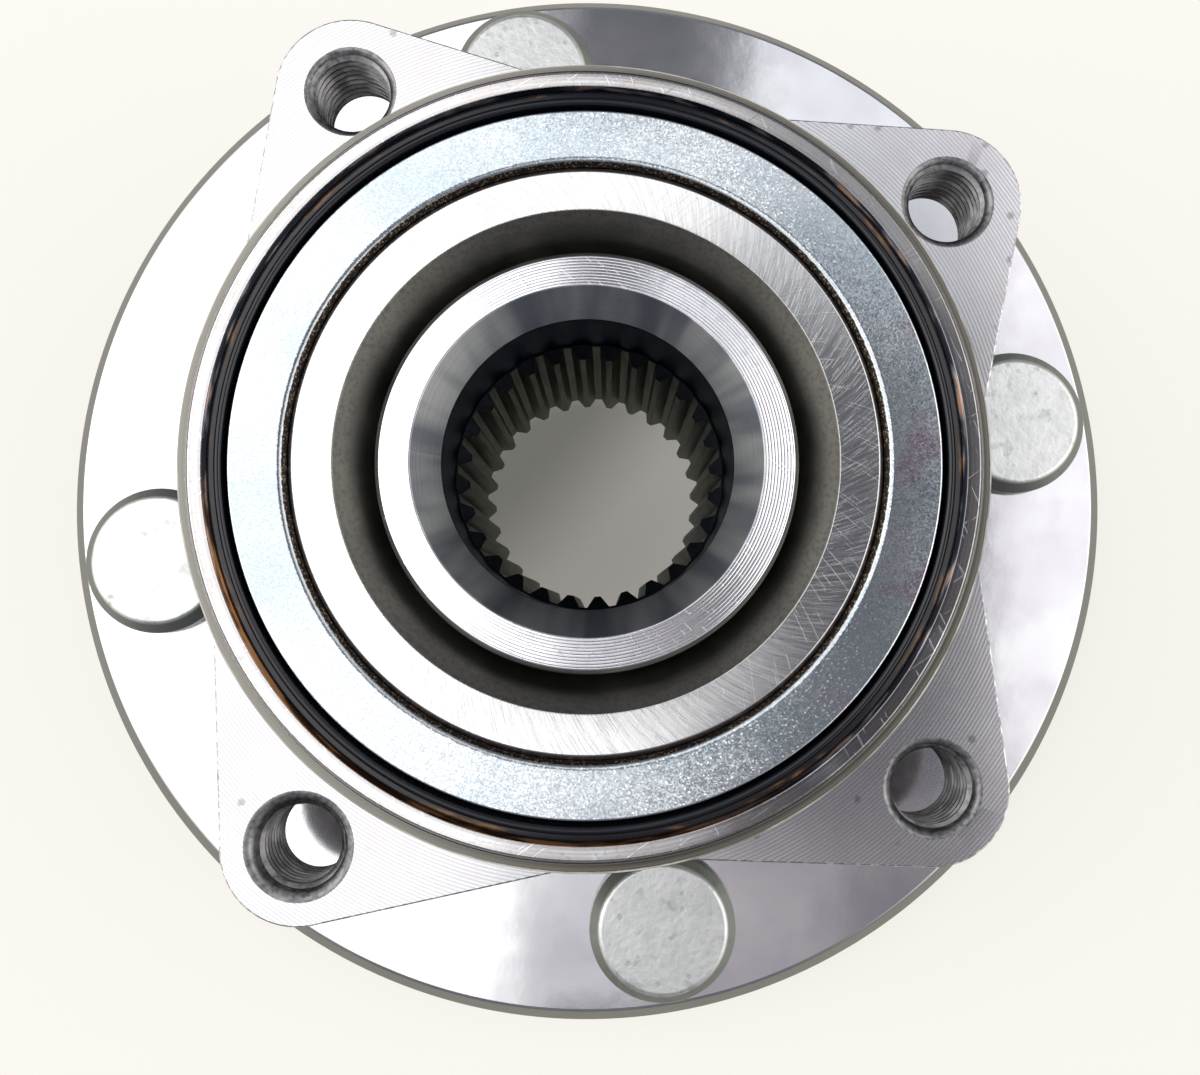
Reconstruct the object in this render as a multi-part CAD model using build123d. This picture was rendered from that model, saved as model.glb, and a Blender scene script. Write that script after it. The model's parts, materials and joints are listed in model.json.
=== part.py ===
from build123d import *
from math import acos, cos, pi, radians, sin, tan
import os

# Front wheel hub unit for a driven axle, in millimetres.
# The hub axis is Z. The origin is on that axis, in the face that the brake disc and wheel seat on,
# and +Z points inboard, to the axle. The outer ring's four threaded holes lie in two pairs,
# mirrored across the XZ plane, and the closer pair is on the +X side.

# Hub flange and wheel studs
flange_thickness = 9.5
flange_inner_chamfer_r = 1.7
flange_inner_chamfer_z = 2.0
flange_outer_chamfer = 1.0
flange_root_round = 3.0
disc_relief_width = 12.5
disc_relief_depth = 0.6
stud_count = 4
stud_clock_deg = 12.0
stud_ring_clearance = 4.5
stud_rim_wall = 2.4
stud_thread_d = 12.0
stud_knurl_d = 12.8
stud_length = 35.0
stud_head_d = 18.9
stud_head_height = 3.2
stud_head_chamfer_r = 1.4
stud_head_chamfer_z = 1.2
stud_tip_d = 9.6
stud_tip_length = 2.6

# Wheel pilot and axle nut pocket
wheel_pilot_d = 67.0
wheel_pilot_length = 17.0
wheel_pilot_chamfer = 1.6
pilot_root_groove_width = 1.6
pilot_root_groove_depth = 0.5
nut_pocket_wall = 6.5
nut_pocket_taper = 2.5
nut_pocket_depth = 9.0
nut_pocket_round = 1.5

# Splined bore
spline_teeth = 28
spline_minor_d = 28.4
spline_tooth_height = 1.3
spline_flank_deg = 30.0
spline_length = 37.4
spline_outer_chamfer = 0.8
plain_bore_clearance = 0.25
bore_cone_width = 2.95
bore_cone_depth = 3.5

# Spindle and its shoulder
spindle_face_wall = 3.8
spindle_set_back = 1.5
spindle_chamfer_r = 0.6
spindle_chamfer_z = 0.9

# Outer ring, its walls measured outwards from the seal seats
knuckle_pilot_wall = 3.45
knuckle_pilot_chamfer_r = 1.3
knuckle_pilot_chamfer_z = 1.6
knuckle_pilot_length = 14.4
outer_ring_width = 35.9
outer_ring_gap = 2.5
ring_flange_thickness = 11.6
ring_body_wall = 4.15
ring_end_wall = 2.45
ring_end_chamfer = 0.8
ring_mouth_chamfer = 0.45
knuckle_bolt_from_pilot = 10.35
close_pair_deg = 40.0
wide_pair_deg = 124.8
ear_radius = 8.8
ear_back_chamfer = 0.8
bolt_thread_d = 10.0
bolt_mouth_d = 11.3

# Balls, raceways and cages
balls_per_row = 15
ball_d = 11.112
inner_ring_wall = 8.6
race_clearance = 0.12
shoulder_below_pitch = 2.1
land_above_pitch = 1.7
race_relief = 0.35
snap_lip = 0.276
cage_pocket_clearance = 0.15
cage_bore_clearance = 0.5
cage_wall = 4.6
cage_back = 0.6
cage_claw_reach = 3.0
cage_end_gap = 0.5

# Seals and the slinger
seal_ledge = 0.45
inboard_seal_depth = 4.7
outboard_seal_depth = 3.5
seal_case_sheet = 0.6
seal_rubber_wall = 0.8
seal_rubber_floor = 0.6
seal_web_height = 3.1
seal_rim_set_back = 0.7
seal_rim_cover = 0.3
seal_bead = 0.3
lip_gap = 0.3
lip_root = 0.8
lip_edge = 0.35
lip_lean = 0.9
slinger_sheet = 0.8
slinger_set_back = 0.6
slinger_gap = 0.5
slinger_bend = 1.2
slinger_end_gap = 0.1

# Inner ring
inner_face_set_back = 1.1
inner_edge_chamfer = 0.5
inner_bore_mouth_width = 3.9
inner_bore_mouth_depth = 4.8

# Heights, worked out from the wheel face up. The studs' threads start at the wheel face, at zero
flange_top = flange_thickness
ring_bottom = flange_top + outer_ring_gap
ring_top = ring_bottom + outer_ring_width
ear_top = ring_top - knuckle_pilot_length
ear_bottom = ear_top - ring_flange_thickness
inner_face = ring_top - inner_face_set_back
spindle_face = inner_face - spindle_set_back
slinger_top = ring_top - slinger_set_back
inboard_seat = ring_top - inboard_seal_depth
outboard_seat = ring_bottom + outboard_seal_depth
nut_seat = nut_pocket_depth - wheel_pilot_length
spline_top = nut_seat + spline_length

# Radii from the splined bore out to the seal seats. The ball circle comes out at 66.4 mm
spline_minor_r = spline_minor_d / 2
spline_pitch_r = spline_minor_r + spline_tooth_height / 2
spline_major_r = spline_minor_r + spline_tooth_height
plain_bore_r = spline_major_r + plain_bore_clearance
bore_cone_r = plain_bore_r + bore_cone_width
spindle_r = bore_cone_r + spindle_face_wall
shoulder_r = spindle_r + inner_ring_wall
pitch_r = shoulder_r + shoulder_below_pitch
ball_r = ball_d / 2
race_r = ball_r + race_clearance
pocket_r = ball_r + cage_pocket_clearance
land_r = pitch_r + land_above_pitch
relief_r = pitch_r - race_r + race_relief
open_bore_r = pitch_r + race_r - snap_lip
seal_bore_r = open_bore_r + seal_ledge
cage_end = pocket_r + cage_back
inboard_row = inboard_seat - cage_end_gap - cage_end
outboard_row = outboard_seat + cage_end_gap + cage_end
row_middle = (inboard_row + outboard_row) / 2

# Radii outside the bearing. The stud circle comes out at 114.3 mm and the flange at 138 mm
knuckle_pilot_r = seal_bore_r + knuckle_pilot_wall
ring_body_r = seal_bore_r + ring_body_wall
ring_end_r = seal_bore_r + ring_end_wall
bolt_radius = knuckle_pilot_r + knuckle_bolt_from_pilot
stud_radius = ring_body_r + stud_ring_clearance + stud_head_d / 2
flange_r = stud_radius + stud_head_d / 2 + stud_rim_wall


def turned(points, rounds=()):
    """Turns an outline of (radius, height) points about the hub axis, some corners rounded first."""
    outline = make_face(Polyline(*points, close=True))
    for corner, radius in rounds:
        vertex = outline.vertices().sort_by_distance((*corner, 0))[0]
        outline = fillet(vertex, radius)
    return revolve(Plane.XZ * outline, Axis.Z)


def around(radius, angle_deg, height=0.0):
    """A place at a radius and angle about the hub axis."""
    return Pos(radius * cos(radians(angle_deg)), radius * sin(radians(angle_deg)), height)


def raceway(row):
    """The round groove that one row of balls runs in."""
    return Pos(0, 0, row) * Torus(pitch_r, race_r)


# Hub: spindle, outboard raceway, flange and wheel pilot in one forging


def spline_broach():
    """The solid that cuts the splined bore: a core with one tapered tooth per spline space.
    On the pitch circle the spaces are as wide as the teeth between them."""
    start_r = spline_minor_r - 0.5
    slope = tan(radians(spline_flank_deg))
    space_half = pi * spline_pitch_r / spline_teeth / 2
    root_half = space_half - (spline_major_r - spline_pitch_r) * slope
    start_half = space_half + (spline_pitch_r - start_r) * slope
    tooth = make_face(Polyline(
        (start_r, -start_half), (spline_major_r, -root_half), (spline_major_r, root_half),
        (start_r, start_half), close=True))
    section = Circle(spline_minor_r) + [
        Rot(0, 0, turn * 360 / spline_teeth) * tooth for turn in range(spline_teeth)]
    return Pos(0, 0, nut_seat) * extrude(section, spline_length)


def bore_cutter():
    """The smooth stretch of bore above the spline, with its cone, and the lead-in at the nut seat."""
    cone_bottom = spindle_face - bore_cone_depth
    step = plain_bore_r - spline_minor_r
    smooth = turned([
        (0, spline_top - step), (spline_minor_r, spline_top - step), (plain_bore_r, spline_top),
        (plain_bore_r, cone_bottom), (bore_cone_r, spindle_face), (bore_cone_r, spindle_face + 1),
        (0, spindle_face + 1)])
    lead_r = spline_major_r + spline_outer_chamfer / 4
    lead = turned([
        (0, nut_seat - 1), (lead_r, nut_seat - 1), (lead_r, nut_seat),
        (spline_minor_r, nut_seat + spline_outer_chamfer), (0, nut_seat + spline_outer_chamfer)])
    return smooth + lead


def hub_blank():
    """The turned outline of the hub, before its bore and stud holes are cut."""
    pilot_r = wheel_pilot_d / 2
    land = pilot_r + disc_relief_width
    nose = -wheel_pilot_length
    groove_top = disc_relief_depth
    groove_bottom = disc_relief_depth - pilot_root_groove_width
    groove_r = pilot_r - pilot_root_groove_depth
    root_corner = (shoulder_r, flange_top)
    pocket_mouth_r = pilot_r - nut_pocket_wall
    pocket_corner = (pocket_mouth_r - nut_pocket_taper, nut_seat)
    outline = [
        (0, nut_seat), pocket_corner, (pocket_mouth_r, nose),
        (pilot_r - wheel_pilot_chamfer, nose), (pilot_r, nose + wheel_pilot_chamfer),
        (pilot_r, groove_bottom), (groove_r, groove_bottom + pilot_root_groove_depth),
        (groove_r, groove_top), (land - disc_relief_depth, groove_top), (land, 0),
        (flange_r - flange_outer_chamfer, 0), (flange_r, flange_outer_chamfer),
        (flange_r, flange_top - flange_inner_chamfer_z),
        (flange_r - flange_inner_chamfer_r, flange_top),
        root_corner, (shoulder_r, outboard_row), (relief_r, outboard_row), (relief_r, row_middle),
        (spindle_r, row_middle), (spindle_r, spindle_face - spindle_chamfer_z),
        (spindle_r - spindle_chamfer_r, spindle_face), (0, spindle_face)]
    return turned(outline, [(root_corner, flange_root_round), (pocket_corner, nut_pocket_round)])


def stud_angles():
    return [stud_clock_deg + turn * 360 / stud_count for turn in range(stud_count)]


def hub():
    blank = hub_blank() - raceway(outboard_row) - spline_broach() - bore_cutter()
    hole = Cylinder(stud_knurl_d / 2, flange_thickness + 2)
    return blank - [around(stud_radius, angle, flange_top / 2) * hole for angle in stud_angles()]


def wheel_stud(angle_deg):
    """A pressed-in stud: round head on the flange, knurl in its hole, thread out from the wheel face."""
    head_r = stud_head_d / 2
    head_top = flange_top + stud_head_height
    knurl_r = stud_knurl_d / 2
    thread_r = stud_thread_d / 2
    tip_r = stud_tip_d / 2
    lead = thread_r - tip_r
    stud = turned([
        (0, head_top), (head_r - stud_head_chamfer_r, head_top),
        (head_r, head_top - stud_head_chamfer_z), (head_r, flange_top), (knurl_r, flange_top),
        (knurl_r, knurl_r - thread_r), (thread_r, 0),
        (thread_r, stud_tip_length + lead - stud_length), (tip_r, stud_tip_length - stud_length),
        (tip_r, lead / 2 - stud_length), (tip_r - lead / 2, -stud_length), (0, -stud_length)])
    return around(stud_radius, angle_deg) * stud


# Inner ring, pressed on the spindle


def inner_ring():
    outline = [
        (spindle_r, row_middle), (relief_r, row_middle), (relief_r, inboard_row),
        (shoulder_r, inboard_row), (shoulder_r, inner_face - inner_edge_chamfer),
        (shoulder_r - inner_edge_chamfer, inner_face), (spindle_r + inner_bore_mouth_width, inner_face),
        (spindle_r, inner_face - inner_bore_mouth_depth)]
    return turned(outline) - raceway(inboard_row)


# Outer ring, bolted to the knuckle


def bolt_angles():
    return [close_pair_deg, wide_pair_deg, -wide_pair_deg, -close_pair_deg]


def ear_outline(angle_deg):
    """The tangent-sided web from the ring's body to one ear, with the ear's round end."""
    lean = acos((ring_body_r - ear_radius) / bolt_radius)
    side_x = cos(lean)
    side_y = sin(lean)
    web = make_face(Polyline(
        (ring_body_r * side_x, -ring_body_r * side_y),
        (bolt_radius + ear_radius * side_x, -ear_radius * side_y),
        (bolt_radius + ear_radius * side_x, ear_radius * side_y),
        (ring_body_r * side_x, ring_body_r * side_y), close=True))
    return Rot(0, 0, angle_deg) * (web + Pos(bolt_radius, 0) * Circle(ear_radius))


def ear_plate():
    """The four-eared flange plate, its back edge chamfered."""
    outline = Circle(ring_body_r) + [ear_outline(angle) for angle in bolt_angles()]
    plate = Pos(0, 0, ear_bottom) * extrude(outline, ring_flange_thickness)
    return chamfer(plate.faces().sort_by(Axis.Z)[0].edges(), ear_back_chamfer)


def ring_barrel():
    """The turned body of the outer ring, solid up to its axis."""
    return turned([
        (0, ring_bottom), (ring_end_r - ring_end_chamfer, ring_bottom),
        (ring_end_r, ring_bottom + ring_end_chamfer), (ring_body_r, ear_bottom + ear_back_chamfer),
        (ring_body_r, ear_top - ear_back_chamfer), (knuckle_pilot_r, ear_top - ear_back_chamfer),
        (knuckle_pilot_r, ring_top - knuckle_pilot_chamfer_z),
        (knuckle_pilot_r - knuckle_pilot_chamfer_r, ring_top), (0, ring_top)])


def ring_bore():
    """The space inside the outer ring: two seal seats, two open race mouths and the land between."""
    mouth_r = seal_bore_r + ring_mouth_chamfer
    return turned([
        (0, ring_bottom - 1), (seal_bore_r, ring_bottom - 1), (seal_bore_r, outboard_seat),
        (open_bore_r, outboard_seat), (open_bore_r, outboard_row), (land_r, outboard_row),
        (land_r, inboard_row), (open_bore_r, inboard_row), (open_bore_r, inboard_seat),
        (seal_bore_r, inboard_seat), (seal_bore_r, ring_top - ring_mouth_chamfer),
        (mouth_r, ring_top), (mouth_r, ring_top + 1), (0, ring_top + 1)])


def threaded_hole():
    """One bolt hole at its thread's full size, with a countersunk mouth on both sides."""
    thread_r = bolt_thread_d / 2
    mouth_r = bolt_mouth_d / 2
    step = mouth_r - thread_r
    return turned([
        (0, ear_bottom - 1), (mouth_r, ear_bottom - 1), (mouth_r, ear_bottom),
        (thread_r, ear_bottom + step), (thread_r, ear_top - step), (mouth_r, ear_top),
        (mouth_r, ear_top + 1), (0, ear_top + 1)])


def outer_ring():
    body = ring_barrel() + ear_plate()
    body -= ring_bore() + raceway(inboard_row) + raceway(outboard_row)
    return body - [around(bolt_radius, angle) * threaded_hole() for angle in bolt_angles()]


# Balls and their cages


def row_angles(start_deg):
    return [start_deg + turn * 360 / balls_per_row for turn in range(balls_per_row)]


def cage(row, outward, start_deg):
    """A crown cage: a ring on the seal side, with claws that reach between the balls."""
    bore_r = shoulder_r + cage_bore_clearance
    back = row + outward * cage_end
    claws = row - outward * cage_claw_reach
    ring = turned([(bore_r, claws), (bore_r + cage_wall, claws), (bore_r + cage_wall, back), (bore_r, back)])
    return ring - [around(pitch_r, angle, row) * Sphere(pocket_r) for angle in row_angles(start_deg)]


def ball(row, angle_deg):
    return around(pitch_r, angle_deg, row) * Sphere(ball_r)


# Seals: a pressed sheet case with moulded rubber, and the slinger that turns over the inboard one


def seal_case(seat, rim, outward):
    """The L-shaped sheet ring pressed into the seal bore, its web against the ledge."""
    web_r = shoulder_r + seal_web_height
    web_top = seat + outward * seal_case_sheet
    return turned([
        (seal_bore_r, seat), (seal_bore_r, rim), (seal_bore_r - seal_case_sheet, rim),
        (seal_bore_r - seal_case_sheet, web_top), (web_r, web_top), (web_r, seat)])


def rubber_outline(seat, rim, outward, sleeve_r, lips):
    """The moulded rubber's outline: rim and its bead, wall, floor, axial lips and the radial lip."""
    case_r = seal_bore_r - seal_case_sheet
    wall_r = case_r - seal_rubber_wall
    web_r = shoulder_r + seal_web_height
    web_top = seat + outward * seal_case_sheet
    floor = web_top + outward * seal_rubber_floor
    cover = rim + outward * seal_rim_cover
    bead = cover + outward * seal_bead
    points = [
        (case_r, rim), (seal_bore_r, rim), (seal_bore_r, cover), (case_r, cover),
        (case_r - seal_bead / 2, bead), (wall_r + seal_bead / 2, bead), (wall_r, cover), (wall_r, floor)]
    for root_r, reach in lips:
        points += [
            (root_r, floor), (root_r + lip_lean, reach), (root_r + lip_lean - lip_edge, reach),
            (root_r - lip_root, floor)]
    tip_r = sleeve_r + lip_gap
    points += [
        (web_r - seal_rubber_floor, floor), (tip_r + lip_edge, floor + outward * lip_root),
        (tip_r, floor + outward * (lip_root - lip_edge)), (web_r - lip_root - seal_rubber_floor, seat),
        (web_r, seat), (web_r, web_top), (case_r, web_top)]
    return points


inboard_rim = ring_top - seal_rim_set_back - seal_rim_cover
outboard_rim = ring_bottom + seal_rim_cover + seal_bead
slinger_r = seal_bore_r - seal_case_sheet - seal_rubber_wall - slinger_gap


def inboard_seal_lip():
    sleeve_r = shoulder_r + slinger_sheet
    lip = [(slinger_r - lip_root - lip_lean, slinger_top - slinger_sheet - lip_gap)]
    return turned(rubber_outline(inboard_seat, inboard_rim, 1, sleeve_r, lip))


def outboard_seal_lip():
    reach = flange_top + lip_gap
    outer_root_r = seal_bore_r - seal_case_sheet - seal_rubber_wall - lip_lean
    inner_root_r = shoulder_r + seal_web_height + lip_root
    lips = [(outer_root_r, reach), (inner_root_r, reach)]
    return turned(rubber_outline(outboard_seat, outboard_rim, -1, shoulder_r, lips))


def inboard_slinger():
    """The plated sheet ring pressed on the inner ring, bent out to cover the seal."""
    sleeve_r = shoulder_r + slinger_sheet
    under = slinger_top - slinger_sheet
    foot = inboard_seat + slinger_end_gap
    outer_corner = (shoulder_r, slinger_top)
    inner_corner = (sleeve_r, under)
    return turned(
        [(shoulder_r, foot), outer_corner, (slinger_r, slinger_top), (slinger_r, under),
         inner_corner, (sleeve_r, foot)],
        [(outer_corner, slinger_bend), (inner_corner, slinger_bend - slinger_sheet)])


# Every piece in its own file, named for what it is


def pieces():
    named = {
        "outer_ring": outer_ring(),
        "hub": hub(),
        "inner_ring": inner_ring(),
        "inboard_slinger": inboard_slinger(),
        "inboard_seal_case": seal_case(inboard_seat, inboard_rim, 1),
        "inboard_seal_lip": inboard_seal_lip(),
        "outboard_seal_case": seal_case(outboard_seat, outboard_rim, -1),
        "outboard_seal_lip": outboard_seal_lip(),
    }
    for number, angle in enumerate(stud_angles(), 1):
        named[f"wheel_stud_{number}"] = wheel_stud(angle)
    half_step = 180 / balls_per_row
    for side, row, outward, start in (
            ("inboard", inboard_row, 1, 0.0), ("outboard", outboard_row, -1, half_step)):
        named[f"{side}_cage"] = cage(row, outward, start)
        for number, angle in enumerate(row_angles(start), 1):
            named[f"{side}_ball_{number:02d}"] = ball(row, angle)
    return named


os.makedirs("parts", exist_ok=True)
for name, shape in pieces().items():
    export_step(shape, f"parts/{name}.step")
    print(name, round(shape.volume, 1))
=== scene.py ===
# %% [markdown]
# # A driven front wheel hub unit
# The object is a steel wheel hub with its bearing. It stands on its wheel studs and is seen from the
# side that faces the car. The frame holds every piece at its real size, so this lesson only dresses
# it: turned outlines for the round pieces, real threads and spline teeth, and finishes made of nodes.

import json
import math

import bmesh
import bpy
from mathutils import Matrix, Vector


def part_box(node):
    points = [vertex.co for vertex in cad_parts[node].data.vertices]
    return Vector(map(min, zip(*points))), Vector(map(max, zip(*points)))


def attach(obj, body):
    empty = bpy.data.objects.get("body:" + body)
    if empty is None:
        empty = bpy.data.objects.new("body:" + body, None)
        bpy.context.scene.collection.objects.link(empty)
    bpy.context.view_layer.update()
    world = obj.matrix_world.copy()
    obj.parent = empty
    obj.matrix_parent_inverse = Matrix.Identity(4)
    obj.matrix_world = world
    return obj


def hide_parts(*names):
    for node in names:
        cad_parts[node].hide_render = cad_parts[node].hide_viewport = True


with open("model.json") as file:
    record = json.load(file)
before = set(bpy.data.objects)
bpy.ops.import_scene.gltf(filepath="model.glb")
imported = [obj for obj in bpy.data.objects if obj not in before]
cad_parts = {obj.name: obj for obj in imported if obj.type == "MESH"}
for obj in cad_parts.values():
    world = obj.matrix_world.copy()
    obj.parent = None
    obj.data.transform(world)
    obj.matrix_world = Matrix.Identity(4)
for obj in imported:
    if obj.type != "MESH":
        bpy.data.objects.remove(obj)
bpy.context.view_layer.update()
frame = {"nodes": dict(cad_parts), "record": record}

# %% [markdown]
# ## Sizes
# Every size that the frame can tell is read from it: the boxes of its nodes and the dimensions of its
# mounts. What the frame can't tell, such as a chamfer, is a named value in millimetres.

# %% Sizes read from the frame
mm = 0.001
mounts = {mount["name"]: mount for mount in frame["record"]["mounts"]}


def lowest(node, axis=2):
    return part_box(node)[0][axis]


def highest(node, axis=2):
    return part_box(node)[1][axis]


flange_r = highest("hub", 0)
nose = lowest("hub")
spindle_face = highest("hub")
ring_bottom = lowest("outer_ring")
ring_top = highest("outer_ring")
inner_face = highest("inner_ring")
inner_foot = lowest("inner_ring")
shoulder_r = highest("inner_ring", 0)
slinger_r = highest("inboard_slinger", 0)
slinger_top = highest("inboard_slinger")
slinger_foot = lowest("inboard_slinger")
seal_r = highest("inboard_seal_case", 0)
stud_end = lowest("wheel_stud_1")
stud_top = highest("wheel_stud_1")
ear_top = mounts["knuckle_face"]["pos_m"][2]
knuckle_pilot_r = mounts["knuckle_pilot"]["dims"]["r_mm"] * mm
wheel_pilot_r = mounts["wheel_pilot"]["dims"]["r_mm"] * mm
plain_bore_r = mounts["axle_bore"]["dims"]["r_mm"] * mm
stud_r = mounts["wheel_studs"]["dims"]["stud_r_mm"] * mm
bolt_r = mounts["knuckle_bolts_close"]["dims"]["hole_r_mm"] * mm
bolt_places = []
for pattern in ("knuckle_bolts_close", "knuckle_bolts_wide"):
    across = mounts[pattern]["dims"]["spacing_y_mm"] * mm / 2
    along = mounts[pattern]["pos_m"][0]
    bolt_places += [Vector((along, across, 0)), Vector((along, -across, 0))]
bolt_places.sort(key=lambda place: math.atan2(place.y, place.x) % (2 * math.pi))
bolt_circle_r = bolt_places[0].length
stud_places = []
for number in (1, 2, 3, 4):
    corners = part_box(f"wheel_stud_{number}")
    stud_places.append(Vector([(corners[0][axis] + corners[1][axis]) / 2 for axis in (0, 1)] + [0]))
print("flange radius", flange_r, "ears at", [round(place.length, 5) for place in bolt_places])
print("studs at", [round(place.length, 5) for place in stud_places])

# %% Sizes that the frame can't tell
flange_top = 9.5 * mm
nut_seat = -8.0 * mm
spline_top = 29.4 * mm
spindle_r = 22.5 * mm
bore_cone_r = 18.7 * mm
bore_cone_depth = 3.5 * mm
pitch_r = 33.2 * mm
race_r = 5.676 * mm
open_bore_r = 38.6 * mm
inboard_row = 36.394 * mm
outboard_row = 22.306 * mm
inboard_seat = 43.2 * mm
outboard_seat = 15.5 * mm
ring_body_r = 43.2 * mm
ring_end_r = 41.5 * mm
ear_r = 8.8 * mm
ear_thickness = 11.6 * mm
relief_r = 27.874 * mm

# %% [markdown]
# ## The camera
# The photograph looks down on the bearing from about 13 cm, a little off the axis and a little turned.
# A camera is placed by its eye, the point that it looks at and its turn about that line. The shift
# moves the picture on the film, because the photograph's middle isn't where the lens points.

# %% Camera
eye = Vector((2.99, -15.86, 175.95)) * mm
aim = Vector((5.58, -4.65, 47.9)) * mm
camera_turn = math.radians(2.65)
photo_width, photo_height = 1200, 1075
focal_px = 1250
axis_px = (639.1, 503.8)


def camera_matrix(eye, aim, turn):
    """A camera's matrix from its eye, aim and turn about the line of sight."""
    forward = (aim - eye).normalized()
    right = forward.cross(Vector((-math.sin(turn), math.cos(turn), 0))).normalized()
    up = right.cross(forward)
    return Matrix.Translation(eye) @ Matrix((right, up, -forward)).transposed().to_4x4()


camera = bpy.data.objects.new("camera", bpy.data.cameras.new("camera"))
bpy.context.collection.objects.link(camera)
camera.matrix_world = camera_matrix(eye, aim, camera_turn)
camera.data.sensor_fit = "HORIZONTAL"
camera.data.sensor_width = 36
camera.data.lens = focal_px / photo_width * camera.data.sensor_width
camera.data.shift_x = -(axis_px[0] - photo_width / 2) / photo_width
camera.data.shift_y = (axis_px[1] - photo_height / 2) / photo_width
camera.data.clip_start = 1 * mm
bpy.context.scene.camera = camera
print("lens", camera.data.lens, "shift", camera.data.shift_x, camera.data.shift_y)

# %% [markdown]
# ## Light
# Bare steel shows what it mirrors, so the lamps are placed by the mirror: a flat face sends each line
# of sight back up to one spot of the ceiling. Wide panels of soft light cover the left and the far
# right. The darker gaps between them turn the right half grey, and small dim panels in the gaps light
# the lower ears, the seal and the flange. A panel's numbers are its edges and how bright it looks.

# %% Ceiling panels
ceiling = 0.5


def ceiling_panel(name, left, right, front, back, brightness, tint=(1, 1, 1)):
    """A rectangular lamp that faces down and looks as bright as the number says."""
    lamp = bpy.data.lights.new(name, "AREA")
    lamp.shape = "RECTANGLE"
    lamp.size = right - left
    lamp.size_y = back - front
    lamp.energy = brightness * math.pi * lamp.size * lamp.size_y
    lamp.color = tint
    holder = bpy.data.objects.new(name, lamp)
    holder.location = ((left + right) / 2, (front + back) / 2, ceiling)
    bpy.context.collection.objects.link(holder)


ceiling_panel("left_panel", -0.95, -0.035, -0.24, 0.25, 1.5)
ceiling_panel("back_left_panel", -0.95, -0.055, 0.25, 0.36, 1.5)
ceiling_panel("right_panel", 0.2, 0.8, -0.1, 0.33, 1.14, (1.0, 0.985, 1.0))
ceiling_panel("back_panel", -0.035, 0.055, 0.155, 0.235, 1.6)
ceiling_panel("back_right_panel", 0.055, 0.2, 0.135, 0.235, 0.62, (0.93, 0.96, 1.0))
ceiling_panel("far_right_panel", 0.062, 0.2, 0.235, 0.36, 1.02, (0.95, 0.97, 1.0))
ceiling_panel("front_panel", -0.035, 0.045, -0.1, -0.055, 1.6)
ceiling_panel("middle_panel", 0.04, 0.08, -0.06, -0.015, 0.7)
ceiling_panel("near_panel", -0.03, 0.045, -0.22, -0.1, 0.58, (0.97, 0.97, 1.0))
ceiling_panel("near_right_panel", 0.045, 0.13, -0.24, -0.12, 0.36, (1.0, 0.93, 0.95))
ceiling_panel("edge_right_panel", 0.13, 0.22, -0.24, -0.1, 0.14, (1.0, 0.9, 0.92))
ceiling_panel("front_corner_panel", 0.24, 0.8, -0.24, -0.1, 1.2)
bpy.context.scene.view_settings.view_transform = "Standard"

# %% [markdown]
# ## Writing finishes as sums
# A finish is a small tree of nodes. Wrapping a socket in a class that knows +, -, * and / lets the
# tree be written as sums, as in `roughness = 0.3 + lines * 0.1`, and adds the Math nodes by itself.

# %% A socket that can be used in sums
class Value:
    """One output socket of a finish."""

    def __init__(self, finish, socket):
        self.finish = finish
        self.socket = socket

    def math(self, operation, *terms):
        return self.finish.add("ShaderNodeMath", {"operation": operation}, dict(enumerate(terms)))

    def __add__(self, other):
        return self.math("ADD", self, other)

    def __radd__(self, other):
        return self.math("ADD", other, self)

    def __sub__(self, other):
        return self.math("SUBTRACT", self, other)

    def __rsub__(self, other):
        return self.math("SUBTRACT", other, self)

    def __mul__(self, other):
        return self.math("MULTIPLY", self, other)

    def __rmul__(self, other):
        return self.math("MULTIPLY", other, self)

    def __truediv__(self, other):
        return self.math("DIVIDE", self, other)

    def __pow__(self, other):
        return self.math("POWER", self, other)

    def wave(self, pitch):
        """A smooth wave from 0 to 1 that repeats each pitch."""
        return self.math("SINE", self * (2 * math.pi / pitch)) * 0.5 + 0.5

    def step(self, start, end):
        """0 below start, 1 above end and a smooth rise between, or a fall if end is below start."""
        settings = {"interpolation_type": "SMOOTHSTEP"}
        inputs = {"Value": self, "From Min": min(start, end), "From Max": max(start, end)}
        rise = self.finish.add("ShaderNodeMapRange", settings, inputs)
        return rise if end > start else 1 - rise

    def band(self, low, high, edge):
        """1 between two values and 0 outside them, with soft edges."""
        return self.step(low - edge, low + edge) * self.step(high + edge, high - edge)


# %% A tree of nodes
class Nodes:
    """The nodes of a material or of the world."""

    def __init__(self, owner):
        owner.use_nodes = True
        self.tree = owner.node_tree
        self.tree.nodes.clear()

    def add(self, kind, settings=None, inputs=None, output=0):
        """Adds a node: its settings first, then the values or links of its sockets."""
        node = self.tree.nodes.new(kind)
        for name, setting in (settings or {}).items():
            setattr(node, name, setting)
        for name, given in (inputs or {}).items():
            if isinstance(given, Value):
                self.tree.links.new(given.socket, node.inputs[name])
            else:
                node.inputs[name].default_value = (*given, 1) if self.is_colour(node, name, given) else given
        return Value(self, node.outputs[output]) if node.outputs else None

    @staticmethod
    def is_colour(node, name, given):
        return node.inputs[name].type == "RGBA" and len(given) == 3

    def mix(self, share, first, second):
        """A colour between two colours."""
        settings = {"data_type": "RGBA"}
        return self.add("ShaderNodeMix", settings, {0: share, 6: first, 7: second}, output=2)


# %% [markdown]
# ## The room
# The room beyond the panels is one gradient by direction: light walls to the left and right, which the
# steel's slopes mirror, dimmer ones in front and behind, and a dim ceiling between the panels.

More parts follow.
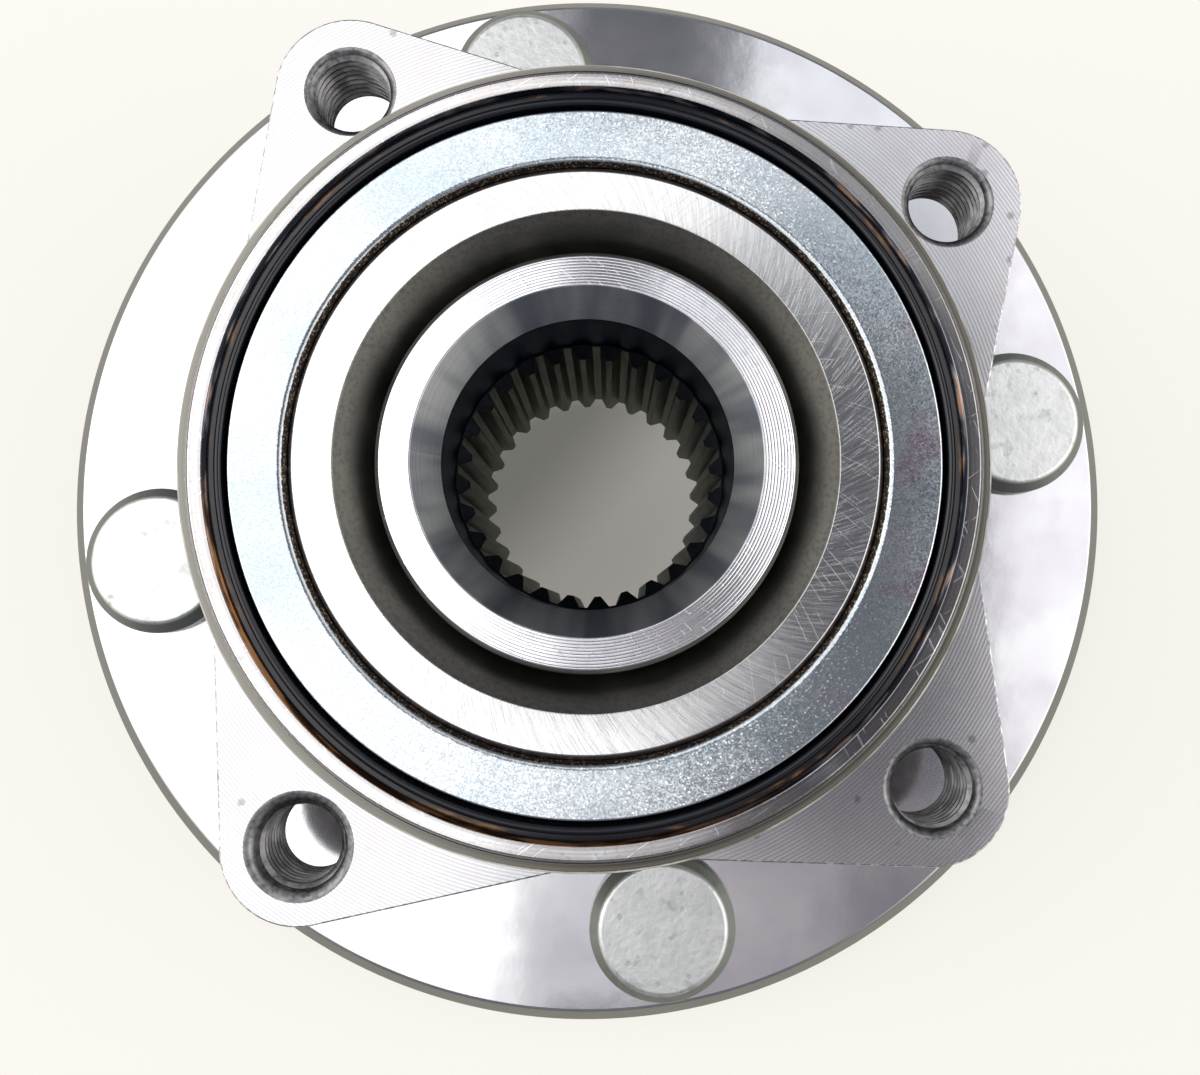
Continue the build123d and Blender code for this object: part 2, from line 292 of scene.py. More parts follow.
# %% World
world = bpy.data.worlds.new("room")
bpy.context.scene.world = world
room = Nodes(world)
direction = room.add("ShaderNodeTexCoord", output="Generated")
sideways, across, upward = [
    room.add("ShaderNodeSeparateXYZ", inputs={0: direction}, output=axis) for axis in (0, 1, 2)]
to_the_side = sideways * sideways / (sideways * sideways + across * across + 0.0001)
walls = room.mix(to_the_side.step(0.15, 0.9), (0.2, 0.2, 0.23), (1.12, 1.1, 1.07))
room_colour = room.mix(upward.step(0.7, 0.92), walls, (0.1, 0.1, 0.12))
room.add("ShaderNodeOutputWorld", {}, {
    "Surface": room.add("ShaderNodeBackground", {}, {"Color": room_colour, "Strength": 1.0})})


# %% [markdown]
# ## Patterns
# Steel that has been turned, ground or forged has marks at different scales. Each pattern below makes
# one kind of mark from the object's own coordinates, in metres, so that it stays on the piece.

# %% A finish and its patterns
class Finish(Nodes):
    """One material, whose nodes are added by its methods."""

    def __init__(self, name):
        self.material = bpy.data.materials.new(name)
        super().__init__(self.material)
        self.place = self.add("ShaderNodeTexCoord", output="Object")
        self.x = self.part(0)
        self.y = self.part(1)
        self.height = self.part(2)
        self.radius = (self.x * self.x + self.y * self.y) ** 0.5
        self.angle = self.x.math("ARCTAN2", self.y, self.x)

    def part(self, axis):
        return self.add("ShaderNodeSeparateXYZ", inputs={0: self.place}, output=axis)

    def vector(self, x, y, z=0.0):
        return self.add("ShaderNodeCombineXYZ", inputs={0: x, 1: y, 2: z})

    def noise(self, size, detail=2.0, rough=0.5, where=None):
        """Cloudy noise from 0 to 1 whose blotches are about the given size."""
        inputs = {"Vector": where or self.place, "Scale": 1 / size, "Detail": detail, "Roughness": rough}
        return self.add("ShaderNodeTexNoise", {}, inputs)

    def line_noise(self, along, pitch, detail=1.0):
        """Noise that changes along one value only, as tool marks do."""
        inputs = {"W": along, "Scale": 1 / pitch, "Detail": detail}
        return self.add("ShaderNodeTexNoise", {"noise_dimensions": "1D"}, inputs)

    def cells(self, size, output="Color"):
        """Small cells like crystals, by their random colour or the distance to their middle."""
        return self.add("ShaderNodeTexVoronoi", {}, {"Vector": self.place, "Scale": 1 / size}, output)

    def cell_value(self, size):
        """A random value from 0 to 1 for each small cell."""
        return self.add("ShaderNodeSeparateColor", inputs={0: self.cells(size)})

    def dots(self, size, share, sharpness=0.12):
        """Small round specks that fill about the given share of the cells."""
        near = self.cells(size, "Distance")
        chosen = self.cell_value(size).step(1 - share, 1 - share + 0.02)
        return near.step(0.28 + sharpness, 0.28 - sharpness) * chosen

    def streaks(self, turn_deg, length, width, where=None):
        """Noise drawn out along one direction, for scratches and brush marks."""
        settings = {"vector_type": "TEXTURE"}
        inputs = {"Vector": where or self.place, "Rotation": (0, 0, math.radians(turn_deg)),
                  "Scale": (length, width, width)}
        drawn = self.add("ShaderNodeMapping", settings, inputs)
        return self.add("ShaderNodeTexNoise", {}, {"Vector": drawn, "Scale": 1.0, "Detail": 1.0})

    def hairs(self, turn_deg, length, width, start, where=None):
        """Thin separate scratches: only the crests of the streaks, fewer where start is higher."""
        return self.streaks(turn_deg, length, width, where).step(start, start + 0.05)

    def bump(self, relief, depth, under=None):
        """A normal from a height pattern whose full height is the given depth."""
        inputs = {"Height": relief, "Distance": depth, "Strength": 1.0}
        if under:
            inputs["Normal"] = under
        return self.add("ShaderNodeBump", {}, inputs)

    def tilt(self, size, amount):
        """A normal that leans at random in each small crystal."""
        upright = self.add("ShaderNodeNewGeometry", output="Normal")
        middle = {0: self.cells(size), 1: (0.5, 0.5, 0.5)}
        lean = self.add("ShaderNodeVectorMath", {"operation": "SUBTRACT"}, middle)
        settings = {"operation": "MULTIPLY_ADD"}
        inputs = {0: lean, 1: (amount, amount, amount), 2: upright}
        leaning = self.add("ShaderNodeVectorMath", settings, inputs)
        return self.add("ShaderNodeVectorMath", {"operation": "NORMALIZE"}, {0: leaning})

    def close(self, colour, roughness, normal=None, metallic=1.0, **fixed):
        """Ends the tree in a Principled shader, whose fixed sockets are set on the node itself."""
        inputs = {"Base Color": colour, "Roughness": roughness, "Metallic": metallic}
        inputs.update({name.replace("_", " "): number for name, number in fixed.items()})
        if normal:
            inputs["Normal"] = normal
        shader = self.add("ShaderNodeBsdfPrincipled", {}, inputs)
        self.add("ShaderNodeOutputMaterial", {}, {"Surface": shader})
        return self.material


# %% [markdown]
# ## The table top
# The unit stands on a pale table. The floor is a diffuse plane that keeps the shadow; part of what
# the camera sees of it is its own glow, so that it stays near white as in a bright picture. Near and
# under the unit the glow falls to a small share, a painted shade, and a painted shadow darkens the
# floor under the bore towards the upper left.

# %% Floor
def pale_table():
    finish = Finish("pale_table")
    seen = finish.add("ShaderNodeLightPath", output="Is Camera Ray")
    mirrored = finish.add("ShaderNodeLightPath", output="Is Glossy Ray")
    through = finish.add("ShaderNodeLightPath", output="Is Transmission Ray")
    shown = seen.math("MAXIMUM", seen, mirrored)
    shown = shown.math("MAXIMUM", shown, through)
    # Painted shade: the glow falls to a small share near and under the unit, so the floor is darker there.
    glow_share = shown * (0.12 + finish.radius.step(55 * mm, 90 * mm) * 0.64)
    far = finish.noise(150 * mm, 1)
    cream = finish.mix(far.step(0.35, 0.7), (0.965, 0.955, 0.925), (0.965, 0.935, 0.88))
    # Painted shadow: the floor seen through the bore is painted darker towards the upper left, as the bore
    # wall's shadow.
    across = finish.x * 0.77 - finish.y * 0.64
    painted_bore_shadow = finish.radius.step(26 * mm, 18 * mm) * across.step(4 * mm, -15 * mm)
    cream = finish.mix(painted_bore_shadow, cream, (0.22, 0.23, 0.19))
    plain = finish.add("ShaderNodeBsdfDiffuse", {}, {"Color": cream})
    glow = finish.add("ShaderNodeEmission", {}, {"Color": (1.0, 0.98, 0.91), "Strength": 1.0})
    both = finish.add("ShaderNodeMixShader", {}, {0: glow_share, 1: plain, 2: glow})
    finish.add("ShaderNodeOutputMaterial", {}, {"Surface": both})
    return finish.material


bm = bmesh.new()
bmesh.ops.create_grid(bm, x_segments=1, y_segments=1, size=2.0)
bmesh.ops.translate(bm, verts=bm.verts, vec=(0, 0, stud_end))
floor_mesh = bpy.data.meshes.new("floor")
bm.to_mesh(floor_mesh)
bm.free()
floor = bpy.data.objects.new("floor", floor_mesh)
bpy.context.collection.objects.link(floor)
floor.data.materials.append(pale_table())

# %% [markdown]
# ## Turning
# Most pieces are turned on a lathe, so they are made that way here: a closed outline in the plane of
# the axis, its corners rounded as a file would break them, and one full spin about the hub axis. Every
# cutter reaches a little past what it cuts, so that no two faces fall together.

# %% Lathe work
round_steps = 240
edge_break = 0.12 * mm
past = 1 * mm


def soften(bm, corner, width, segments=3):
    """Rounds one corner of a flat outline."""
    bmesh.ops.bevel(bm, geom=[corner], offset=width, offset_type="OFFSET", segments=segments,
                    profile=0.5, affect="VERTICES", material=-1)


def spin_round(bm, steps=round_steps):
    """Spins everything in a mesh once about the axis and closes the seam and the poles."""
    bmesh.ops.spin(bm, geom=bm.verts[:] + bm.edges[:], cent=(0, 0, 0), axis=(0, 0, 1),
                   dvec=(0, 0, 0), angle=2 * math.pi, steps=steps, use_merge=True, use_duplicate=False)
    bmesh.ops.remove_doubles(bm, verts=bm.verts, dist=0.001 * mm)
    bmesh.ops.recalc_face_normals(bm, faces=bm.faces)


def turned(points, wide=None, steps=round_steps):
    """A closed ring or disc from its outline of (radius, height) points.
    Corners get the small edge break, or the width that `wide` gives for their number."""
    bm = bmesh.new()
    corners = [bm.verts.new((radius, 0, height)) for radius, height in points]
    for start, end in zip(corners, corners[1:] + corners[:1]):
        if start.co.x > 0 or end.co.x > 0:
            bm.edges.new((start, end))
    for number, corner in enumerate(corners):
        width = (wide or {}).get(number, edge_break)
        if corner.co.x > 0 and width > 0:
            soften(bm, corner, width, 3 if width <= edge_break else 6)
    spin_round(bm, steps)
    return bm


def arc(centre_r, centre_z, radius, start_deg, end_deg, count=9):
    """Points on an arc in the outline's plane."""
    turns = [math.radians(start_deg + (end_deg - start_deg) * step / count) for step in range(count + 1)]
    return [(centre_r + radius * math.cos(turn), centre_z + radius * math.sin(turn)) for turn in turns]


# %% From a mesh in the making to a piece of the object
def as_object(bm, name):
    mesh = bpy.data.meshes.new(name)
    bm.to_mesh(mesh)
    bm.free()
    made = bpy.data.objects.new(name, mesh)
    bpy.context.collection.objects.link(made)
    return made


def combine(target, operation, tool):
    """Joins or cuts two closed meshes for good, and removes the tool."""
    step = target.modifiers.new("combine", "BOOLEAN")
    step.operation = operation
    step.solver = "EXACT"
    step.object = tool
    bpy.context.view_layer.update()
    seen = target.evaluated_get(bpy.context.evaluated_depsgraph_get())
    result = bpy.data.meshes.new_from_object(seen)
    target.modifiers.clear()
    target.data = result
    bpy.data.objects.remove(tool)


def gather(meshes):
    """Several meshes in the making as one."""
    together = bmesh.new()
    for bm in meshes:
        holder = bpy.data.meshes.new("part")
        bm.to_mesh(holder)
        bm.free()
        together.from_mesh(holder)
        bpy.data.meshes.remove(holder)
    return together


def finish_piece(made, body, nodes, finishes, choose=None, sharp_deg=38):
    """Shades a piece, gives each face its finish and ties the piece to the frame."""
    mesh = made.data
    mesh.materials.clear()
    for material in finishes:
        mesh.materials.append(material)
    if choose:
        for face in mesh.polygons:
            face.material_index = choose(face.center, face.normal)
    mesh.shade_smooth()
    mesh.set_sharp_from_angle(angle=math.radians(sharp_deg))
    flat = made.modifiers.new("flat_faces", "WEIGHTED_NORMAL")
    flat.keep_sharp = True
    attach(made, body)
    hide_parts(*nodes)
    print(made.name, "faces", len(mesh.polygons))
    return made


# %% [markdown]
# ## Threads
# A thread is one groove that winds round: its section is spun about the axis while it climbs by one
# pitch a turn. The spin operator does just that when it is given a step along the axis. The same
# winding is the tap that cuts a threaded hole and the thread of a stud.

# %% A threaded rod
thread_steps = 48


def winding(root_r, crest_r, pitch, low, high):
    """A closed threaded rod along the axis between two heights."""
    bm = bmesh.new()
    section = []
    turn_count = math.ceil((high - low) / pitch) + 2
    for turn in range(turn_count):
        foot = low - 1.5 * pitch + turn * pitch
        for radius, share in ((root_r, 0), (root_r, 1 / 4), (crest_r, 9 / 16), (crest_r, 11 / 16)):
            section.append(bm.verts.new((radius, 0, foot + share * pitch)))
    for start, end in zip(section, section[1:]):
        bm.edges.new((start, end))
    bmesh.ops.spin(bm, geom=bm.verts[:] + bm.edges[:], cent=(0, 0, 0), axis=(0, 0, 1),
                   dvec=(0, 0, pitch / thread_steps), angle=2 * math.pi, steps=thread_steps,
                   use_merge=False, use_duplicate=False)
    bmesh.ops.remove_doubles(bm, verts=bm.verts, dist=0.001 * mm)
    for height, cut_above in ((high, True), (low, False)):
        bmesh.ops.bisect_plane(bm, geom=bm.verts[:] + bm.edges[:] + bm.faces[:], plane_co=(0, 0, height),
                               plane_no=(0, 0, 1), clear_outer=cut_above, clear_inner=not cut_above)
        rim = [edge for edge in bm.edges
               if edge.is_boundary and all(abs(v.co.z - height) < 0.001 * mm for v in edge.verts)]
        bmesh.ops.holes_fill(bm, edges=rim)
    bmesh.ops.recalc_face_normals(bm, faces=bm.faces)
    return bm


def moved(bm, place):
    bmesh.ops.translate(bm, verts=bm.verts, vec=place)
    return bm


test_rod = winding(4.3 * mm, 5.0 * mm, 1.25 * mm, 0, 11 * mm)
print("threaded rod faces", len(test_rod.faces), "open edges", sum(not e.is_manifold for e in test_rod.edges))
test_rod.free()

# %% [markdown]
# ## Outer ring
# On the car this forged ring is bolted to the steering knuckle by its four ears and stands still. Its
# barrel is turned, its ears are forged and then faced on the lathe, which leaves rings about the hub
# axis on them, and its four holes are tapped. It is built in that order: barrel, ears, taps.

# %% Barrel of the outer ring
face_chamfer_r = 1.3 * mm
face_chamfer_z = 1.6 * mm
face_groove = 0.16 * mm
mouth_chamfer = 0.45 * mm
race_open_deg = 18
race_edge_deg = 72


def ring_barrel():
    outside = [
        (ring_end_r - 0.8 * mm, ring_bottom), (ring_end_r, ring_bottom + 0.8 * mm),
        (ring_body_r - 0.1 * mm, ear_top - ear_thickness + 0.8 * mm),
        (knuckle_pilot_r, ear_top - ear_thickness + 1.5 * mm),
        (knuckle_pilot_r, ring_top - face_chamfer_z),
        (knuckle_pilot_r - face_chamfer_r, ring_top - face_groove),
        (knuckle_pilot_r - face_chamfer_r - face_groove, ring_top - face_groove),
        (knuckle_pilot_r - face_chamfer_r - 2 * face_groove, ring_top)]
    inboard_race = arc(pitch_r, inboard_row, race_r, race_open_deg, -race_edge_deg)
    outboard_race = arc(pitch_r, outboard_row, race_r, race_edge_deg, -race_open_deg)
    inside = [
        (seal_r + mouth_chamfer, ring_top), (seal_r, ring_top - mouth_chamfer), (seal_r, inboard_seat),
        (open_bore_r, inboard_seat), *inboard_race, *outboard_race, (open_bore_r, outboard_seat),
        (seal_r, outboard_seat), (seal_r, ring_bottom)]
    return turned(outside + inside)


outer_ring = as_object(ring_barrel(), "outer_ring_forging")
print("barrel", len(outer_ring.data.polygons))

# %% The four-eared plate
ear_break = 0.22 * mm
ear_back_chamfer = 0.8 * mm
ear_steps = 36
waist_steps = 12


def outline_pen(bm, pen, centre, turn, steps):
    """Draws an arc with the last point of an outline and returns its new last point."""
    drawn = bmesh.ops.spin(bm, geom=[pen], cent=centre, axis=(0, 0, 1), dvec=(0, 0, 0), angle=turn,
                           steps=steps, use_merge=False, use_duplicate=False)
    return next(point for point in drawn["geom_last"] if isinstance(point, bmesh.types.BMVert))


def line_to(bm, pen, radius, turn):
    """Draws a straight line to a radius and angle about the hub axis."""
    end = bm.verts.new((radius * math.cos(turn), radius * math.sin(turn), 0))
    bm.edges.new((pen, end))
    return end


def ear_plate():
    """Each ear's round end, with straight sides that touch the body's circle or the next ear's side."""
    bm = bmesh.new()
    lean = math.acos((ring_body_r - ear_r) / bolt_circle_r)
    turns = [math.atan2(place.y, place.x) % (2 * math.pi) for place in bolt_places]
    first = None
    for number, turn in enumerate(turns):
        centre = bolt_places[number]
        side = turn - lean
        start = centre + ear_r * Vector((math.cos(side), math.sin(side), 0))
        pen_start = bm.verts.new(start)
        if first is None:
            first = pen_start
        else:
            bm.edges.new((pen, pen_start))
        pen = outline_pen(bm, pen_start, centre, 2 * lean, ear_steps)
        following = turns[(number + 1) % len(turns)] + (2 * math.pi if number == len(turns) - 1 else 0)
        gap = following - turn - 2 * lean
        if gap > 0:
            pen = line_to(bm, pen, ring_body_r, turn + lean)
            pen = outline_pen(bm, pen, (0, 0, 0), gap, waist_steps)
        else:
            pen = line_to(bm, pen, ring_body_r / math.cos(gap / 2), (turn + following) / 2)
    bm.edges.new((pen, first))
    bmesh.ops.translate(bm, verts=bm.verts, vec=(0, 0, ear_top - ear_thickness))
    bottom = bmesh.ops.contextual_create(bm, geom=bm.edges[:])["faces"]
    top = bmesh.ops.extrude_face_region(bm, geom=bottom, use_keep_orig=True)
    raised = [v for v in top["geom"] if isinstance(v, bmesh.types.BMVert)]
    bmesh.ops.translate(bm, verts=raised, vec=(0, 0, ear_thickness))
    bmesh.ops.recalc_face_normals(bm, faces=bm.faces)
    for height, width, segments in ((ear_top, ear_break, 2), (ear_top - ear_thickness, ear_back_chamfer, 1)):
        rim = [e for e in bm.edges if all(abs(v.co.z - height) < 0.01 * mm for v in e.verts)]
        bmesh.ops.bevel(bm, geom=rim, offset=width, offset_type="OFFSET", segments=segments, profile=0.5,
                        affect="EDGES", material=-1)
    return bm


ears = as_object(ear_plate(), "ears")
middle_r = (open_bore_r + knuckle_pilot_r) / 2
combine(ears, "DIFFERENCE", as_object(turned(
    [(0, ring_bottom), (middle_r, ring_bottom), (middle_r, ring_top), (0, ring_top)]), "middle"))
combine(outer_ring, "UNION", ears)
print("with ears", len(outer_ring.data.polygons))

# %% Tapped holes
bolt_pitch = 1.25 * mm
bolt_crest_r = bolt_r - 0.68 * mm
mouth_radii = [5.5 * mm, 5.4 * mm, 6.15 * mm, 5.7 * mm]
largest_mouth_r = max(mouth_radii)
ear_bottom = ear_top - ear_thickness


def countersink(mouth_r):
    """Two cones, one in the other, that the drill and the tap leave at a hole's mouth."""
    step_r = bolt_crest_r + 0.5 * (mouth_r - bolt_crest_r)
    step_z = ear_top - 0.75 * (mouth_r - step_r)
    deep = step_z - 1.6 * (step_r - bolt_crest_r)
    return turned([
        (0, deep), (bolt_crest_r, deep), (step_r, step_z), (mouth_r + past / 0.75, ear_top + past),
        (0, ear_top + past)], {2: 0.2 * mm}, steps=72)


taps = [moved(winding(bolt_crest_r, bolt_r, bolt_pitch, ear_bottom - past, ear_top + past), place)
        for place in bolt_places]
combine(outer_ring, "DIFFERENCE", as_object(gather(taps), "taps"))
mouths = [moved(countersink(mouth_r), place) for place, mouth_r in zip(bolt_places, mouth_radii)]
combine(outer_ring, "DIFFERENCE", as_object(gather(mouths), "countersinks"))
print("with threads", len(outer_ring.data.polygons))

# %% [markdown]
# ### Finishes of the outer ring
# The turned face carries fine rings, a few nicks and a brown line of oil at its mouth; painted shade
# darkens its right side, its chamfer is painted lighter towards the left as a painted highlight, and a
# painted dark line shades the small groove at the chamfer. The ears' faced rings are coarser, 0.41 mm
# apart, and faintly waved. Their sides are as forged, and the threads are dark with oil.

# %% Turned steel
def turned_steel():
    finish = Finish("turned_steel")
    climb = finish.radius + finish.height
    rings = finish.line_noise(climb, 0.3 * mm, 3)
    cloud = finish.noise(9 * mm, 2)
    fine = finish.noise(0.35 * mm, 2)
    steel = finish.mix(rings, (0.42, 0.41, 0.42), (0.6, 0.59, 0.6))
    steel = finish.mix(cloud.step(0.35, 0.7) * 0.5, steel, (0.42, 0.38, 0.39))
    steel = finish.mix(fine.step(0.5, 0.7) * 0.35, steel, (0.26, 0.25, 0.25))
    relief = finish.bump(rings, 0.006 * mm)
    return finish.close(steel, 0.28 + rings * 0.1 + fine * 0.06, relief)


# %% The face of the ring, with its two chamfers
chamfer_start = knuckle_pilot_r - face_chamfer_r
mouth_end = seal_r + mouth_chamfer


def ring_face():
    finish = Finish("ring_face")
    rings = finish.line_noise(finish.radius, 0.3 * mm, 2)
    cloud = finish.noise(7 * mm, 2)
    fine = finish.noise(0.4 * mm, 2)
    scratches = finish.hairs(38, 5 * mm, 0.3 * mm, 0.68)
    scratches = scratches.math("MAXIMUM", scratches, finish.hairs(-64, 4 * mm, 0.3 * mm, 0.69))
    specks = finish.dots(0.6 * mm, 0.05)
    steel = finish.mix(rings.step(0.3, 0.7), (0.55, 0.54, 0.54), (0.84, 0.83, 0.835))
    steel = finish.mix(cloud.step(0.4, 0.65) * 0.5, steel, (0.58, 0.53, 0.5))
    steel = finish.mix(fine.step(0.52, 0.7) * 0.35, steel, (0.42, 0.4, 0.39))
    steel = finish.mix(scratches * 0.8 + specks * 0.6, steel, (0.97, 0.97, 0.97))
    # Painted shade: the right half of the face is painted darker, in cloudy patches.
    painted_right_shade = finish.angle.band(-1.25, 1.3, 0.3) * cloud.step(0.15, 0.5)
    steel = finish.mix(painted_right_shade * 0.68, steel, (0.27, 0.262, 0.255))
    slope = finish.radius.step(chamfer_start - 0.02 * mm, chamfer_start + 0.04 * mm)
    grain = finish.line_noise(finish.radius - finish.height, 0.7 * mm, 3)
    worn = finish.mix(grain.step(0.38, 0.62), (0.03, 0.027, 0.023), (0.2, 0.19, 0.17))
    # Painted highlight: the chamfer is painted lighter towards the left.
    worn = finish.mix(finish.x.step(10 * mm, -30 * mm) * 0.4, worn, (0.72, 0.7, 0.66))
    steel = finish.mix(slope, steel, worn)
    ragged = finish.radius + (fine - 0.5) * 0.16 * mm
    bright_edge = ragged.band(knuckle_pilot_r - 0.26 * mm, knuckle_pilot_r - 0.04 * mm, 0.05 * mm)
    steel = finish.mix(bright_edge * (0.15 + cloud.step(0.4, 0.6) * 0.45), steel, (0.93, 0.92, 0.9))
    # Painted shade: a dark line is painted over the small groove between the face and the chamfer.
    groove = ragged.band(chamfer_start - 1.9 * face_groove, chamfer_start + 0.1 * face_groove, 0.03 * mm)
    steel = finish.mix(groove * 0.8, steel, (0.09, 0.085, 0.08))
    mouth = finish.radius.step(mouth_end + 0.06 * mm, mouth_end - 0.02 * mm)
    along = finish.vector(finish.angle * 39 * mm * 0.12, finish.radius)
    blued = finish.noise(0.6 * mm, 3, where=along)
    lower_left = finish.angle.band(-2.9, -1.15, 0.25)
    rust = finish.mix(blued.step(0.4, 0.62), (0.05, 0.022, 0.01), (0.34, 0.17, 0.075))
    oil = finish.mix(blued.step(0.48, 0.75), (0.015, 0.017, 0.024), (0.2, 0.21, 0.24))
    oil = finish.mix(lower_left.math("MAXIMUM", lower_left, blued.step(0.6, 0.66) * 0.6), oil, rust)
    steel = finish.mix(mouth, steel, oil)
    relief = finish.bump(rings, 0.002 * mm)
    relief = finish.bump(scratches, 0.005 * mm, relief)
    return finish.close(steel, 0.13 + rings * 0.05 + slope * 0.16, relief)


# %% Faced ears
def faced_ears():
    finish = Finish("faced_ears")
    wander = finish.radius + finish.noise(6 * mm) * 0.12 * mm
    groove = wander.wave(0.41 * mm)
    uneven = finish.line_noise(finish.radius, 0.6 * mm, 2)
    worn = finish.noise(5 * mm, 2).step(0.35, 0.6)
    cloud = finish.noise(9 * mm, 2)
    dark = finish.dots(1.6 * mm, 0.06)
    fine = finish.noise(0.4 * mm, 2)
    light_lines = groove * (0.35 + uneven * 0.7 + worn * 0.2)
    steel = finish.mix(light_lines, (0.58, 0.575, 0.585), (0.86, 0.86, 0.87))
    steel = finish.mix(cloud.step(0.4, 0.75) * 0.35, steel, (0.62, 0.54, 0.57))
    steel = finish.mix(fine.step(0.5, 0.75) * 0.15, steel, (0.46, 0.45, 0.47))
    steel = finish.mix(dark * 0.6, steel, (0.25, 0.24, 0.24))
    relief = finish.bump(light_lines, 0.0015 * mm)
    return finish.close(steel, 0.17 + fine * 0.04, relief)


# %% Forged sides and oily threads
def forged_steel():
    finish = Finish("forged_steel")
    scale = finish.noise(1.2 * mm, 4, 0.65)
    patches = finish.noise(8 * mm, 3)
    steel = finish.mix(scale.step(0.35, 0.7), (0.06, 0.055, 0.057), (0.15, 0.14, 0.145))
    steel = finish.mix(patches.step(0.45, 0.7) * 0.5, steel, (0.2, 0.19, 0.2))
    relief = finish.bump(scale, 0.12 * mm)
    return finish.close(steel, 0.42 + scale * 0.2, relief)


def oily_thread():
    finish = Finish("oily_thread")
    smear = finish.noise(2.2 * mm, 3)
    fine = finish.noise(0.3 * mm, 2)
    steel = finish.mix(smear.step(0.35, 0.7), (0.1, 0.1, 0.1), (0.28, 0.275, 0.27))
    relief = finish.bump(fine, 0.01 * mm)
    return finish.close(steel, 0.28 + smear * 0.2, relief)


def burred_edge():
    finish = Finish("burred_edge")
    burr = finish.noise(0.8 * mm, 3, 0.6)
    nick = finish.noise(1.4 * mm, 2)
    steel = finish.mix(burr.step(0.45, 0.62), (0.36, 0.35, 0.36), (0.8, 0.8, 0.81))
    steel = finish.mix(nick.step(0.62, 0.68) * 0.7, steel, (0.12, 0.12, 0.12))
    return finish.close(steel, 0.34, finish.bump(burr, 0.03 * mm))


def drilled_mouth():
    finish = Finish("drilled_mouth")
    rough = finish.noise(0.6 * mm, 3)
    smear = finish.noise(3 * mm, 2)
    steel = finish.mix(rough.step(0.35, 0.65), (0.15, 0.15, 0.155), (0.3, 0.295, 0.3))
    steel = finish.mix(smear.step(0.45, 0.7) * 0.6, steel, (0.42, 0.41, 0.4))
    relief = finish.bump(rough, 0.03 * mm)
    return finish.close(steel, 0.34 + rough * 0.15, relief)


def ring_finish(centre, normal):
    """0 turned, 1 faced ear, 2 forged, 3 thread, 4 countersink, 5 ring face, 6 ear edge."""
    flat_place = Vector((centre.x, centre.y, 0))
    from_bolt = min((flat_place - place).length for place in bolt_places)
    if abs(centre.z - ear_top) < 0.01 * mm and normal.z > 0.99:
        return 1
    if from_bolt < largest_mouth_r + 0.02 * mm and abs(normal.z) < 0.99:
        return 4 if normal.z > 0.3 and centre.z > ear_top - 2 * mm else 3
    on_top = centre.z > ring_top - face_chamfer_z - 0.1 * mm
    if flat_place.length < knuckle_pilot_r + 0.05 * mm:
        return 5 if on_top and flat_place.length > seal_r - 0.1 * mm else 0
    if centre.z > ear_top - 1.5 * ear_break:
        return 6
    if centre.z < ear_bottom - 0.05 * mm and flat_place.length < ring_body_r + 0.3 * mm:
        return 0
    return 2


steel_turned = turned_steel()
steel_forged = forged_steel()
finish_piece(outer_ring, "fixed_ring", ["outer_ring"],
             [steel_turned, faced_ears(), steel_forged, oily_thread(), drilled_mouth(), ring_face(),
              burred_edge()], ring_finish)

# %% [markdown]
# ## Hub
# The hub carries the wheel: flange, wheel pilot, spindle and splined bore are one forging. It is
# turned as one outline, and a broach with 28 tapered teeth then cuts the spline, as on the real one.

# %% Hub blank
flange_chamfer_r = 1.7 * mm
flange_chamfer_z = 2.0 * mm
disc_land_r = 46.0 * mm
disc_relief = 0.6 * mm
spline_minor_r = 14.2 * mm
spline_tooth = 1.3 * mm
spline_count = 28
row_middle = (inboard_row + outboard_row) / 2
spindle_fall = 0.5 * mm
hub_race_deg = (-158, -259)


def hub_blank():
    cone_bottom = spindle_face - bore_cone_depth
    step = plain_bore_r - spline_minor_r
    lead = 0.8 * mm
    pocket_mouth_r = wheel_pilot_r - 6.5 * mm
    race = arc(pitch_r, outboard_row, race_r, *hub_race_deg)
    outside = [
        (pocket_mouth_r - 2.5 * mm, nut_seat), (pocket_mouth_r, nose), (wheel_pilot_r - 1.6 * mm, nose),
        (wheel_pilot_r, nose + 1.6 * mm), (wheel_pilot_r, -1.0 * mm), (wheel_pilot_r - 0.5 * mm, -0.5 * mm),
        (wheel_pilot_r - 0.5 * mm, disc_relief), (disc_land_r - disc_relief, disc_relief), (disc_land_r, 0),
        (flange_r - 1.0 * mm, 0), (flange_r, 1.0 * mm), (flange_r, flange_top - flange_chamfer_z),
        (flange_r - flange_chamfer_r, flange_top), (shoulder_r, flange_top), *race,
        (relief_r, row_middle), (spindle_r, row_middle), (spindle_r, spindle_face - spindle_fall - 0.5 * mm),
        (spindle_r - 0.5 * mm, spindle_face - spindle_fall)]
    inside = [
        (bore_cone_r, spindle_face), (plain_bore_r, cone_bottom), (plain_bore_r, spline_top),
        (spline_minor_r, spline_top - step), (spline_minor_r, nut_seat + lead),
        (spline_minor_r + spline_tooth + 0.2 * mm, nut_seat)]
    wide = {0: 1.2 * mm, 10: 0.3 * mm, 11: 0.25 * mm, 12: 0.25 * mm, 13: 3.0 * mm}
    return turned(outside + inside, wide)


hub = as_object(hub_blank(), "hub_forging")
print("hub blank", len(hub.data.polygons))

# %% Broached spline
flank = math.tan(math.radians(30))


